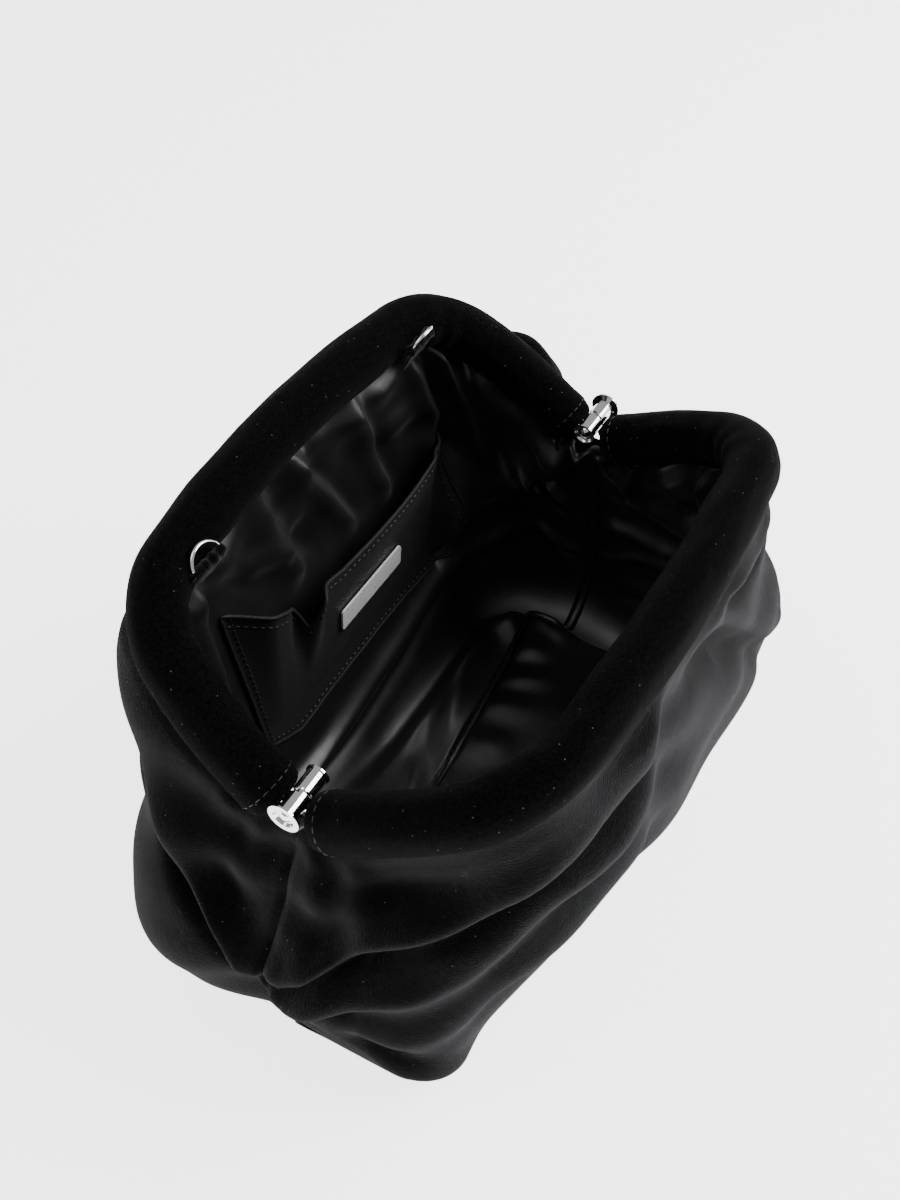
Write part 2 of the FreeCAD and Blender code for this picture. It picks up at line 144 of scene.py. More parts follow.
def mesh_object(name, points, faces, material_used):
    mesh = bpy.data.meshes.new(name)
    mesh.from_pydata([tuple(p) for p in points], [], faces)
    mesh.update()
    mesh.polygons.foreach_set("use_smooth", [True] * len(mesh.polygons))
    mesh.materials.append(material_used)
    piece = bpy.data.objects.new(name, mesh)
    bpy.context.scene.collection.objects.link(piece)
    return piece


def grid_object(name, grid, side, material_used, closed=False):
    """A mesh over a grid of points; side turns its faces, and closed joins its last column to its first."""
    rows, count = grid.shape[:2]
    faces = []
    for i in range(rows - 1):
        for j in range(count if closed else count - 1):
            k = (j + 1) % count
            quad = (i * count + j, (i + 1) * count + j, (i + 1) * count + k, i * count + k)
            faces.append(quad if side < 0 else quad[::-1])
    piece = mesh_object(name, grid.reshape(-1, 3), faces, material_used)
    uv = piece.data.uv_layers.new(name="cloth")
    s = np.linspace(0, 1, count + (1 if closed else 0))
    t = np.linspace(0, 1, rows)
    values = np.zeros((len(piece.data.loops), 2))
    index = np.zeros(len(piece.data.loops), int)
    piece.data.loops.foreach_get("vertex_index", index)
    values[:, 0] = s[index % count]
    values[:, 1] = t[index // count]
    uv.data.foreach_set("uv", values.ravel())
    return piece


# ---------------------------------------------------------------- materials
def material(name, colour, roughness, metallic=0.0, **sockets):
    made = bpy.data.materials.new(name)
    made.use_nodes = True
    shader = shader_of(made)
    shader.inputs["Base Color"].default_value = (*colour, 1)
    shader.inputs["Roughness"].default_value = roughness
    shader.inputs["Metallic"].default_value = metallic
    for socket, value in sockets.items():
        shader.inputs[socket.replace("_", " ")].default_value = value
    return made


def shader_of(made):
    return made.node_tree.nodes["Principled BSDF"]


def add_node(made, kind, **settings):
    node = made.node_tree.nodes.new(kind)
    for name, value in settings.items():
        if name in node.inputs:
            node.inputs[name].default_value = value
        else:
            setattr(node, name, value)
    return node


def texture(made, kind, **settings):
    """A texture node fixed to the object."""
    place = add_node(made, "ShaderNodeTexCoord")
    node = add_node(made, kind, **settings)
    made.node_tree.links.new(place.outputs["Object"], node.inputs["Vector"])
    return node


def noise_of(made, scale, detail):
    return texture(made, "ShaderNodeTexNoise", Scale=scale, Detail=detail).outputs["Fac"]


def remapped(made, value, start, end):
    """Turns the range start of a value into the range end."""
    node = add_node(made, "ShaderNodeMapRange")
    for socket, number in zip(("From Min", "From Max", "To Min", "To Max"), (*start, *end)):
        node.inputs[socket].default_value = number
    made.node_tree.links.new(value, node.inputs["Value"])
    return node.outputs["Result"]


def bumped(made, height, strength, distance, normal=None):
    """Adds a bump from a height output, over one that may be there already."""
    bump = add_node(made, "ShaderNodeBump", Strength=strength, Distance=distance)
    links = made.node_tree.links
    links.new(height, bump.inputs["Height"])
    if normal is not None:
        links.new(normal, bump.inputs["Normal"])
    links.new(bump.outputs["Normal"], shader_of(made).inputs["Normal"])
    return bump.outputs["Normal"]


MIDDLE_OF_NOISE = (0.3, 0.7)
LINT = (0.09, 0.09, 0.095, 1)
NO_LINT = (0.006, 0.006, 0.006, 1)


def velvet_material(name, sheen, lint=True):
    """Near-black pile with a sheen, a slow nap, and a few pale specks of lint."""
    made = material(name, (0.0018, 0.0018, 0.002), 0.9, Sheen_Weight=sheen, Sheen_Roughness=0.34,
                    Specular_IOR_Level=0.02)
    shader_of(made).inputs["Sheen Tint"].default_value = (0.8, 0.8, 0.84, 1)
    pile = bumped(made, noise_of(made, 2600.0, 2.0), strength=1.0, distance=0.0006)
    bumped(made, noise_of(made, 90.0, 3.0), strength=0.2, distance=0.0012, normal=pile)
    cells = texture(made, "ShaderNodeTexVoronoi", Scale=230.0)
    specks = remapped(made, cells.outputs["Distance"], (0.07, 0.045), (0.0, 1.0))
    tone = remapped(made, noise_of(made, 900.0, 2.0), MIDDLE_OF_NOISE, (0.0006, 0.0035))
    mix = add_node(made, "ShaderNodeMix", data_type="RGBA")
    first, second, mixed = mix.inputs[6], mix.inputs[7], mix.outputs[2]
    links = made.node_tree.links
    links.new(specks, mix.inputs["Factor"])
    links.new(tone, first)
    second.default_value = LINT if lint else NO_LINT
    links.new(mixed, shader_of(made).inputs["Base Color"])
    return made


def woven_material(name, colour, roughness, threads, strength, **sockets):
    """Cloth with a fine diagonal twill, and a little unevenness."""
    made = material(name, colour, roughness, **sockets)
    twill = texture(made, "ShaderNodeTexWave", Scale=threads, Distortion=0.6, bands_direction="DIAGONAL")
    normal = bumped(made, twill.outputs["Fac"], strength, distance=0.0002)
    bumped(made, noise_of(made, 120.0, 3.0), strength=0.1, distance=0.001, normal=normal)
    rough = remapped(made, noise_of(made, 60.0, 4.0), MIDDLE_OF_NOISE, (roughness - 0.04, roughness + 0.05))
    made.node_tree.links.new(rough, shader_of(made).inputs["Roughness"])
    return made


def metal_material(name, colour, roughness, metallic=1.0):
    """Metal with faint wear in its polish."""
    made = material(name, colour, roughness, metallic)
    wear = noise_of(made, 400.0, 4.0)
    rough = remapped(made, wear, (0.0, 1.0), (roughness * 0.5, roughness * 1.6))
    made.node_tree.links.new(rough, shader_of(made).inputs["Roughness"])
    bumped(made, wear, strength=0.04, distance=0.0002)
    return made


VELVET = velvet_material("black_velvet", sheen=0.2)
# the rolls' sleeve is the same velvet as the body; this copy has its sheen turned down so that the rolls
# render darker, a painted shade for their tops
SHADED_ROLL_VELVET = velvet_material("roll_velvet_shaded_copy", sheen=0.035)
TAB_VELVET = velvet_material("tab_velvet", sheen=0.2, lint=False)
SATIN = woven_material("black_satin", (0.007, 0.007, 0.0075), roughness=0.4, threads=700.0, strength=0.12,
                       Specular_IOR_Level=0.7, Anisotropic=0.3, Sheen_Weight=0.05, Sheen_Roughness=0.4)
TWILL = woven_material("pocket_twill", (0.012, 0.012, 0.013), roughness=0.6, threads=520.0, strength=0.3,
                       Specular_IOR_Level=0.25, Sheen_Weight=0.03, Sheen_Roughness=0.4)
THREAD = material("sewing_thread", (0.02, 0.02, 0.021), 0.45, Specular_IOR_Level=0.6)
CHROME = metal_material("bright_chrome", (0.82, 0.82, 0.83), roughness=0.07)
PLATE = metal_material("polished_plate", (0.95, 0.95, 0.96), roughness=0.3, metallic=0.35)
DARK_METAL = metal_material("plain_steel", (0.35, 0.35, 0.36), roughness=0.35)


# ---------------------------------------------------------------- cloth walls
COUNT = 300
WALL_ROWS = 130
WALL_LENGTH = 185 * MM
HALF_GIRTH = 375 * MM
RIM_EASING = 3
OUTWARD_EASING = 25
BASE_CORNER_POINTS = 30


def rim_line(side, count, radial, lean, seam):
    """Where cloth leaves the roll: lean turns from the outside of the frame to its outer edge."""
    points, normals = bracket()
    a = math.radians(lean)
    x = points[:, 0] + radial * math.sin(a) * normals[:, 0]
    v = points[:, 1] + radial * math.sin(a) * normals[:, 1]
    w = np.full(len(points), ROLL_OFFSET + radial * math.cos(a))
    left, right = (np.array([[end * seam[0], 0, seam[1]]]) for end in (-1, 1))
    return eased(resampled(np.vstack([left, placed(side, x, v, w), right]), count), RIM_EASING)


def base_line(side, count, half_x, half_y, corner, height):
    """Half of a rounded rectangle, from its left end to its right."""
    turn = np.linspace(0, math.pi / 2, BASE_CORNER_POINTS)
    left = [(-half_x + corner - corner * math.cos(a), half_y - corner + corner * math.sin(a))
            for a in turn]
    half = [(-half_x, 0.0)] + left
    full = half + [(-x, y) for x, y in reversed(half)]
    return resampled(np.array([(x, side * y, height) for x, y in full]), count)


def outward(line, side):
    """Level directions that point away from the purse all along a line."""
    along = np.gradient(line[:, :2], axis=0)
    out = np.stack([-along[:, 1], along[:, 0]], -1) * side
    out = eased(out / np.linalg.norm(out, axis=1)[:, None], OUTWARD_EASING)
    out[0] = (-1, 0)
    out[-1] = (1, 0)
    out = out / np.linalg.norm(out, axis=1)[:, None]
    return np.concatenate([out, np.zeros((len(out), 1))], 1)


def wall(side, rim, base, rim_pull, base_pull):
    """A cloth wall from rim to base edge; the pulls are (out, along) of its curve's handles."""
    top = rim_line(side, COUNT, *rim)
    low = base_line(side, COUNT, *base)
    out = outward(low, side)
    top_out, top_down = rim_pull
    low_out, low_up = base_pull
    up = np.array([0, 0, 1.0])
    one = top + out * top_out[:, None] - up * top_down[:, None]
    two = low + out * low_out[:, None] + up * low_up[:, None]
    t = np.linspace(0, 1, WALL_ROWS)[:, None, None]
    return (1 - t)**3 * top + 3 * (1 - t)**2 * t * one + 3 * (1 - t) * t * t * two + t**3 * low


def with_floor(grid, rows, seam, height):
    """More rows that carry a wall under the purse to the seam along its middle."""
    edge = grid[-1]
    middle = edge.copy()
    middle[:, 1] = seam(edge[:, 0])
    middle[:, 2] = height
    steps = np.linspace(0, 1, rows + 1)[1:, None, None]
    return np.concatenate([grid, edge + (middle - edge) * steps], 0)


def by_ends(s, end, middle, reach=0.2):
    """A value that goes from end, at both ends of s, to middle."""
    return end + (middle - end) * step_up(np.minimum(s, 1 - s), 0, reach)


RIDGE_BACK = 0.8
VALLEY_PLACE = 1.25


def crease(g, t, path, rise, drop, above, below, fade=0.06, upright=False):
    """Height of one fold over the cloth: a soft ridge, and a sharp fall into the fold below it.

    g runs along the girth (0 at the left side seam, 1 at the right, front positive, rear
    negative) and t down the wall, 0 at the rim and 1 at the base edge.  The path is a list of
    (g, t) points.  An upright fold runs down the wall.  Heights and widths are in mm."""
    path = np.array(path, float)
    run, cross, size = (t, g, HALF_GIRTH) if upright else (g, t, WALL_LENGTH)
    run_of, cross_of = (path[:, 1], path[:, 0]) if upright else (path[:, 0], path[:, 1])
    d = (cross - np.interp(run, run_of, cross_of)) * size
    low, high = run_of[0], run_of[-1]
    shade = step_up(run, low - fade, low + fade) * (1 - step_up(run, high - fade, high + fade))
    above, below = above * MM, below * MM
    ridge = np.exp(-(d / np.where(d < 0, above, below * RIDGE_BACK))**2)
    valley = np.exp(-((d - VALLEY_PLACE * below) / below)**2)
    return (rise * MM * ridge - drop * MM * valley) * shade


def mound(g, t, place, size, height):
    """Height of a soft swelling, or of a hollow where the height is negative, in mm."""
    return height * MM * hill(g, place[0], size[0]) * hill(t, place[1], size[1])


def waves(shape, seed, size, along, across):
    """Smooth random relief on a grid, from about -1 to 1."""
    maker = np.random.default_rng(seed)
    rows, count = shape
    t = np.linspace(0, 1, rows)[:, None]
    s = np.linspace(0, 1, count)[None, :]
    total = np.zeros(shape)
    for _ in range(size):
        a, b = maker.uniform(-along, along), maker.uniform(-across, across)
        total += np.sin(2 * math.pi * (a * s + b * t) + maker.uniform(0, 2 * math.pi))
    return total / math.sqrt(size) * 0.7


# ---------------------------------------------------------------- velvet body
# radius from the roll's middle, lean in degrees, and the seam's end point under the hinge (x, z)
VELVET_RIM = (9.7 * MM, 25, (113.5 * MM, 116.0 * MM))
# half length, half depth, corner radius and height of the base edge
VELVET_BASE = {FRONT: (130 * MM, 61 * MM, 15 * MM, 3 * MM), REAR: (128 * MM, 57 * MM, 28 * MM, 3 * MM)}
VELVET_FLOOR_ROWS = 26
VELVET_FLOOR_HEIGHT = 0.8 * MM
LOWEST_VELVET = 0.6 * MM
SAG = 0.3

# Creases as (path, rise, drop, width above, width below, fade).  The paths that the photo shows
# were measured by casting its fold lines onto the cloth, then rounded and adjusted.
VELVET_CREASES = [
    # the great fold that hangs over the left end
    ([(-0.27, 0.12), (-0.18, 0.24), (-0.15, 0.29), (-0.11, 0.38), (-0.075, 0.47), (-0.03, 0.60),
      (0.0, 0.66), (0.03, 0.68), (0.07, 0.63)], 9, 9, 28, 8, 0.03),
    # the ridge that rolls on from the lobe beside the left seam, under the front bar
    ([(-0.03, 0.56), (0.02, 0.53), (0.06, 0.42), (0.10, 0.32), (0.15, 0.26), (0.21, 0.21),
      (0.26, 0.18), (0.32, 0.16), (0.40, 0.13)], 6, 5, 13, 9, 0.03),
    # the second and third ridges, each lower than the last
    ([(-0.02, 0.70), (0.05, 0.64), (0.10, 0.56), (0.16, 0.45), (0.23, 0.37), (0.31, 0.32),
      (0.38, 0.28)], 4.5, 2.5, 15, 13, 0.05),
    ([(0.06, 0.78), (0.12, 0.70), (0.19, 0.62), (0.26, 0.54), (0.33, 0.50), (0.39, 0.47)],
     3, 2, 14, 14, 0.07),
    # low on the left front corner
    ([(0.02, 0.90), (0.08, 0.86), (0.14, 0.87), (0.20, 0.92)], 3.5, 3, 9, 7, 0.04),
    # on the right of the front
    ([(0.50, 0.06), (0.555, 0.13), (0.64, 0.33), (0.72, 0.50), (0.80, 0.58)], 3.5, 5, 18, 12, 0.05),
    ([(0.56, 0.045), (0.60, 0.085), (0.66, 0.12), (0.72, 0.11)], 2.5, 3, 8, 5, 0.03),
    ([(0.60, 0.88), (0.75, 0.84), (0.9, 0.88), (1.0, 0.85)], 3, 2, 16, 9, 0.06),
    # soft folds across the rear
    ([(-1.0, 0.50), (-0.9, 0.36), (-0.75, 0.26), (-0.5, 0.30), (-0.3, 0.22)], 5, 6, 18, 8, 0.05),
    ([(-0.92, 0.66), (-0.7, 0.52), (-0.45, 0.56), (-0.30, 0.66)], 5, 5, 20, 8, 0.07),
]
UPRIGHT_VELVET_CREASES = [
    # the fold edge that comes down from the middle of the front bar
    ([(0.40, 0.02), (0.385, 0.10), (0.39, 0.29), (0.38, 0.5), (0.34, 0.66)], 3, 2.5, 26, 13, 0.1),
    # beside the right seam, front
    ([(0.93, 0.05), (0.92, 0.35), (0.88, 0.6)], 4, 4, 14, 8, 0.1),
    # down the rear
    ([(-0.64, 0.05), (-0.66, 0.25), (-0.62, 0.48)], 4, 4, 22, 8, 0.1),
]
# Swellings and hollows as (place, half width in g and t, height).
VELVET_MOUNDS = [
    # the cloth that comes out under the great fold, at the left rear corner
    ((-0.13, 0.72), (0.08, 0.2), 11),
    # the lobe beside the left seam
    ((0.035, 0.45), (0.04, 0.13), 5),
    # the hollow over the ridge on the left front corner
    ((0.115, 0.79), (0.035, 0.045), -4.5),
    # hollows under the rolls and beside the left seam
    ((0.12, 0.15), (0.06, 0.06), -5),
    ((-0.07, 0.33), (0.035, 0.09), -6),
    # the full cloth of the front
    ((0.80, 0.62), (0.10, 0.14), 4),
    ((0.52, 0.55), (0.14, 0.22), 5),
]
# Pleats that fan out of the pinched seam under each hinge, as (place in g, lean, height).
VELVET_PLEATS = [(0.02, 0.05, 3.0), (0.06, 0.10, 2.0), (-0.03, -0.06, 2.2), (-0.06, -0.14, 1.8),
                 (0.97, -0.05, 2.4), (0.94, -0.16, 2.2), (-0.97, 0.06, 2.4), (-0.94, 0.16, 2)]
SEAM_GROOVE = 1.8 * MM
SEAM_HALF_WIDTH = 0.005


def pleat(g, t, place, lean, height):
    """A pleat that widens and dies away on its way down from the rim."""
    d = (g - place - lean * t) * HALF_GIRTH
    width = (4 + 16 * t) * MM
    return height * MM * np.exp(-(d / width)**2) * step_up(t, 0.01, 0.1) * (1 - step_up(t, 0.2, 0.5))


def velvet_folds(g, t):
    """Height of all the folds over the plain wall."""
    lift = sum(crease(g, t, *fold) for fold in VELVET_CREASES)
    lift += sum(crease(g, t, *fold, upright=True) for fold in UPRIGHT_VELVET_CREASES)
    lift += sum(mound(g, t, *place) for place in VELVET_MOUNDS)
    lift += sum(pleat(g, t, *place) for place in VELVET_PLEATS)
    for seam_distance in (g, np.abs(g) - 1):
        lift -= SEAM_GROOVE * hill(seam_distance, 0, SEAM_HALF_WIDTH) * step_up(t, 0.02, 0.2)
    # slack: slow swells that run along the folds
    swell = np.sin(26 * t + 9 * g + 2.2 * np.sin(5 * g + 1)) * np.sin(7 * g + 4 * t + 1.3)
    return lift + 1.5 * MM * swell + 0.9 * MM * np.sin(34 * g - 12 * t + 1.5 * np.sin(9 * t))


def velvet_wall(side):
    """One half of the velvet before it is folded."""
    s = np.linspace(0, 1, COUNT)
    if side == FRONT:
        rim_pull = by_ends(s, 14 * MM, 4 * MM), by_ends(s, 35 * MM, 45 * MM)
        swell = 14 * MM + 34 * MM * step_up(s, 0.05, 0.5) * step_up(1 - s, 0, 0.2)
        base_pull = swell + 14 * MM * hill(s, 0.76, 0.15), by_ends(s, 50 * MM, 46 * MM)
    else:
        rim_pull = by_ends(s, 14 * MM, 6 * MM), by_ends(s, 35 * MM, 40 * MM)
        base_pull = by_ends(s, 16 * MM, 34 * MM), by_ends(s, 50 * MM, 50 * MM)
    grid = wall(side, VELVET_RIM, VELVET_BASE[side], rim_pull, base_pull)
    return with_floor(grid, VELVET_FLOOR_ROWS, lambda x: 0 * x, VELVET_FLOOR_HEIGHT)


def puffed(grid, g, t):
    """The cloth puffs out past the rolls behind the right hinge."""
    puff = hill(g, -0.89, 0.075) * step_up(t, 0.0, 0.05) * (1 - step_up(t, 0.08, 0.45))
    return grid + puff[..., None] * np.array([16 * MM, 2 * MM, 15 * MM])


def velvet_grid(side):
    grid = velvet_wall(side)
    normal = normals_of(grid, side)
    normal[WALL_ROWS - 4:] = normal[WALL_ROWS - 5]
    rows = grid.shape[0]
    s = np.linspace(0, 1, COUNT)[None, :] * np.ones((rows, 1))
    t = np.r_[np.linspace(0, 1, WALL_ROWS), np.full(rows - WALL_ROWS, 1.0)][:, None] * np.ones((1, COUNT))
    g = s if side == FRONT else -s
    lift = velvet_folds(g, t)
    keep = step_up(t, 0.0, 0.08) * (1 - step_up(t, 0.9, 1.0))
    grid = grid + normal * (lift * keep)[..., None]
    grid[..., 2] -= SAG * np.maximum(lift, 0) * step_up(t, 0.05, 0.3) * (1 - step_up(t, 0.8, 1.0))
    grid = puffed(grid, g, t)
    # the turn into the base is softened
    for _ in range(3):
        turn = grid[WALL_ROWS - 6:WALL_ROWS + 6]
        grid[WALL_ROWS - 5:WALL_ROWS + 5] = 0.5 * turn[1:-1] + 0.25 * turn[:-2] + 0.25 * turn[2:]
    grid[..., 2] = np.maximum(grid[..., 2], LOWEST_VELVET)
    return grid


SEAM_REACH = 12


def share_side_seams(front, rear):
    """Brings the ends of both halves to exactly the same line, easing the columns beside it."""
    for column in (0, -1):
        shared = 0.5 * (front[:, column] + rear[:, column])
        for grid in (front, rear):
            gap = shared - grid[:, column]
            for reach in range(1, SEAM_REACH):
                at = reach if column == 0 else -1 - reach
                grid[:, at] += (1 - reach / SEAM_REACH)**2 * gap
            grid[:, column] = shared


def add_ripple(grid, side):
    """A slight random unevenness over all of the cloth but its rim."""
    relief = waves(grid.shape[:2], seed=7 + side, size=14, along=6, across=4) * 0.5 * MM
    keep = step_up(np.linspace(0, 1, grid.shape[0]), 0, 0.1)[:, None, None]
    grid += normals_of(grid, side) * relief[..., None] * keep


front_grid = velvet_grid(FRONT)
rear_grid = velvet_grid(REAR)
share_side_seams(front_grid, rear_grid)
add_ripple(front_grid, FRONT)
add_ripple(rear_grid, REAR)
front_velvet = grid_object("front_velvet", front_grid, FRONT, VELVET)
rear_velvet = grid_object("rear_velvet", rear_grid, REAR, VELVET)


# ---------------------------------------------------------------- lining
LINING_RIM = (9.8 * MM, -38, (109 * MM, 114.5 * MM))
LINING_BASE = {FRONT: (98 * MM, 42 * MM, 20 * MM, 4.5 * MM), REAR: (98 * MM, 38 * MM, 20 * MM, 4.5 * MM)}
LINING_FLOOR_ROWS = 40
LINING_FLOOR_HEIGHT = 3.2 * MM
LOWEST_LINING = 2.2 * MM
LEFT_RISE = 17 * MM

# Folds in the satin as (path in (s, t), height, width, fade); s runs from the left end to the
# right.  The paths that the photo shows were measured in the same way as the velvet's.
UPRIGHT_LINING_FOLDS = {
    REAR: [([(0.60, -0.05), (0.605, 0.08), (0.625, 0.18), (0.64, 0.28), (0.66, 0.36)], 6, 9),
           ([(0.70, -0.05), (0.73, 0.12), (0.75, 0.22), (0.75, 0.34)], 5, 8),
           ([(0.77, 0.0), (0.79, 0.10), (0.82, 0.18), (0.85, 0.30)], 6, 9),
           ([(0.42, -0.05), (0.43, 0.12), (0.44, 0.22), (0.47, 0.34)], 6, 11),
           ([(0.49, 0.0), (0.51, 0.14), (0.54, 0.23), (0.58, 0.36)], 5, 8),
           ([(0.29, -0.05), (0.29, 0.15), (0.285, 0.30), (0.27, 0.45)], 6, 9),
           ([(0.23, 0.0), (0.24, 0.20), (0.22, 0.40)], 5, 7),
           ([(0.12, 0.0), (0.14, 0.25), (0.16, 0.5)], 5, 10)],
    FRONT: [([(0.89, -0.02), (0.875, 0.07), (0.86, 0.12), (0.84, 0.18)], 6, 7),
            ([(0.80, -0.02), (0.81, 0.10), (0.79, 0.24)], 6, 8),
            ([(0.93, -0.02), (0.94, 0.10), (0.93, 0.20)], 4, 6),
            ([(0.30, 0.0), (0.32, 0.3), (0.30, 0.6)], 5, 12),
            ([(0.50, 0.0), (0.48, 0.3), (0.52, 0.6)], 5, 13)],
}
LEVEL_LINING_FOLDS = {
    REAR: [([(0.35, 0.13), (0.39, 0.20), (0.44, 0.24), (0.50, 0.22)], 2.5, 9, 0.04),
           ([(0.62, 0.16), (0.68, 0.22), (0.74, 0.20), (0.80, 0.26)], 2.5, 9, 0.04),
           # the soft ridge where the wall turns into the floor
           ([(0.20, 0.86), (0.36, 0.82), (0.50, 0.78), (0.65, 0.745), (0.76, 0.69), (0.86, 0.63),
             (0.91, 0.54)], 5, 9, 0.05),
           ([(0.90, 0.28), (0.94, 0.33), (0.98, 0.38), (1.0, 0.39)], 5, 5, 0.02),
           ([(0.90, 0.34), (0.95, 0.41), (1.0, 0.48)], 4, 4, 0.02),
           ([(0.92, 0.52), (0.96, 0.58), (1.0, 0.60)], 4, 5, 0.02)],
    FRONT: [([(0.62, 0.16), (0.74, 0.26), (0.86, 0.28), (0.94, 0.22)], 5, 11, 0.05),
            ([(0.86, 0.41), (0.90, 0.40), (0.96, 0.37), (1.0, 0.37)], 5, 5, 0.02),
            ([(0.87, 0.47), (0.93, 0.51), (1.0, 0.58)], 4, 4, 0.02),
            ([(0.74, 0.50), (0.82, 0.60), (0.92, 0.66)], 5, 8, 0.05),
            ([(0.15, 0.3), (0.4, 0.5), (0.6, 0.45)], 5, 12, 0.08),
            ([(0.25, 0.86), (0.5, 0.82), (0.75, 0.8)], 4, 9, 0.06)],
}
# the rear wall hangs out over the floor beside the pocket, up to the right hinge
OVERHANG = ([(0.76, 0.58), (0.80, 0.51), (0.84, 0.44), (0.89, 0.36), (0.93, 0.26), (0.97, 0.14)],
            9, 5, 26, 5, 0.02)
# Soft mounds in the lining's floor, in mm from the seam: middle x and y, half length, half
# width, slant in radians, height.
FLOOR_MOUNDS = {
    FRONT: [(80, -9, 7, 12, 0.3, 3.5), (62, -11, 6, 13, 0.5, 3.0), (44, -10, 8, 13, 0.4, 3.5),
            (20, -12, 9, 12, 0.5, 3.0), (96, -18, 8, 9, 0.2, 4.0), (98, -6, 6, 8, -0.4, 3.5),
            (0, -26, 14, 8, 0.2, 3.0), (-30, -14, 12, 9, 0.5, 3.0)],
    REAR: [(66, 16, 24, 6, -0.25, 3.5), (34, 12, 20, 6, 0.2, 3.0), (10, 22, 26, 6, 0.1, 3.5),
           (90, 6, 8, 7, 0.5, 4.0), (-14, 9, 18, 6, 0.25, 3.0), (84, 24, 8, 9, 0.3, 3.0)],
}


def satin_fold(s, t, path, height, width, fade=0.04, upright=False):
    """A crease whose other measures follow from its height and width."""
    return crease(s, t, path, height, 0.45 * height, width, 0.8 * width, fade, upright)


def lining_folds(side):
    """Height of the wall's folds, with small wrinkles that die out low on the wall."""
    s = np.linspace(0, 1, COUNT)[None, :] * np.ones((WALL_ROWS, 1))
    t = np.linspace(0, 1, WALL_ROWS)[:, None] * np.ones((1, COUNT))
    # the satin swells out below the roll, and is caught up here and there along it
    swell = 0.6 + 0.4 * np.sin(30 * s + 1.3) * np.sin(11 * s + 0.4)
    lift = 4.5 * MM * swell * hill(t, 0.09, 0.055)
    lift += sum(satin_fold(s, t, *fold, upright=True) for fold in UPRIGHT_LINING_FOLDS[side])
    lift += sum(satin_fold(s, t, *fold) for fold in LEVEL_LINING_FOLDS[side])
    if side == REAR:
        lift += crease(s, t, *OVERHANG)
    wrinkles = np.sin(64 * s + 9 * t + 2 * np.sin(7 * t)) * np.sin(13 * t + 21 * s)
    return lift + 0.7 * MM * wrinkles * (1 - step_up(t, 0.45, 0.75))


def seam_line(x):
    """Where the lining's middle seam runs over the floor."""
    return 9 * MM + 0.1 * x


def floor_relief(side, grid):
    """Slow wrinkles and mounds in the lining's floor."""
    x = grid[..., 0] / MM
    y = (grid[..., 1] - seam_line(grid[..., 0])) / MM
    relief = 0.5 * np.sin(x / 19 + y / 15 + 1.2 * np.sin(x / 37)) + 0.6 * np.sin(x / 13 - y / 9)
    for mid_x, mid_y, long_x, long_y, slant, tall in FLOOR_MOUNDS[side]:
        across = (x - mid_x) * math.cos(slant) + (y - mid_y) * math.sin(slant)
        down = (y - mid_y) * math.cos(slant) - (x - mid_x) * math.sin(slant)
        relief = relief + tall * np.exp(-(across / long_x)**2 - (down / long_y)**2)
    return (relief + 1.0) * MM


def lining_wall(side):
    """One half of the lining before it is folded, its turn into the floor softened."""
    s = np.linspace(0, 1, COUNT)
    rim_out, base_out, base_up = (-6, 25, 9) if side == REAR else (-4, 34, 12)
    rim_pull = by_ends(s, 14 * MM, rim_out * MM), by_ends(s, 34 * MM, 35 * MM)
    base_pull = by_ends(s, 36 * MM, base_out * MM), by_ends(s, 6 * MM, base_up * MM)
    grid = wall(side, LINING_RIM, LINING_BASE[side], rim_pull, base_pull)
    grid = with_floor(grid, LINING_FLOOR_ROWS, seam_line, LINING_FLOOR_HEIGHT)
    for _ in range(12):
        turn = grid[WALL_ROWS - 13:WALL_ROWS + 9]
        grid[WALL_ROWS - 12:WALL_ROWS + 8] = 0.5 * turn[1:-1] + 0.25 * turn[:-2] + 0.25 * turn[2:]
    return grid


def lining_grid(side):
    grid = lining_wall(side)
    rows = grid.shape[0]
    lift = np.zeros((rows, COUNT))
    lift[:WALL_ROWS] = lining_folds(side)
    column = np.arange(COUNT)
    ends = step_up(np.minimum(column, COUNT - 1 - column), 0, 14)
    grid = grid - normals_of(grid, side) * (lift * ends)[..., None]
    depth = np.clip((np.arange(rows) - WALL_ROWS) / LINING_FLOOR_ROWS, 0, 1)[:, None]
    grid[..., 2] += floor_relief(side, grid) * step_up(depth, 0.0, 0.3) * (1 - step_up(depth, 0.9, 1.0))
    # the floor rises towards the left end
    low = np.r_[step_up(np.linspace(0, 1, WALL_ROWS), 0.6, 1.0), np.ones(rows - WALL_ROWS)][:, None]
    grid[..., 2] += LEFT_RISE * (1 - step_up(grid[..., 0], -74 * MM, 10 * MM)) * low
    grid[..., 2] = np.maximum(grid[..., 2], LOWEST_LINING)
    return grid


front_lining_grid = lining_grid(FRONT)
rear_lining = grid_object("rear_lining", lining_grid(REAR), FRONT, SATIN)
front_lining = grid_object("front_lining", front_lining_grid, REAR, SATIN)


# ---------------------------------------------------------------- padded rolls
ROLL_POINTS = 230
AROUND = np.linspace(0, 2 * math.pi, 44, endpoint=False)
SLEEVE_PAST_FOAM = 2.2 * MM
HEM = 7 * MM
# the sleeve's closed end: how far past the end of the line, and the radius there
ROLL_END = [(3 * MM, 3.1 * MM), (2.5 * MM, 8.6 * MM), (-1.4 * MM, 9.3 * MM)]
RING_PLACE = 70 * MM


def sleeve_line():
    """Points, normals and lengths along the sleeve, which reaches a little past the foam."""
    data = np.hstack(bracket())
    past = np.array([[0, SLEEVE_PAST_FOAM, 0, 0]])
    data = resampled(np.vstack([data[:1] - past, data, data[-1:] - past]), ROLL_POINTS)
    points, normals = data[:, :2], data[:, 2:]
    return points, normals / np.linalg.norm(normals, axis=1)[:, None], lengths_along(points)


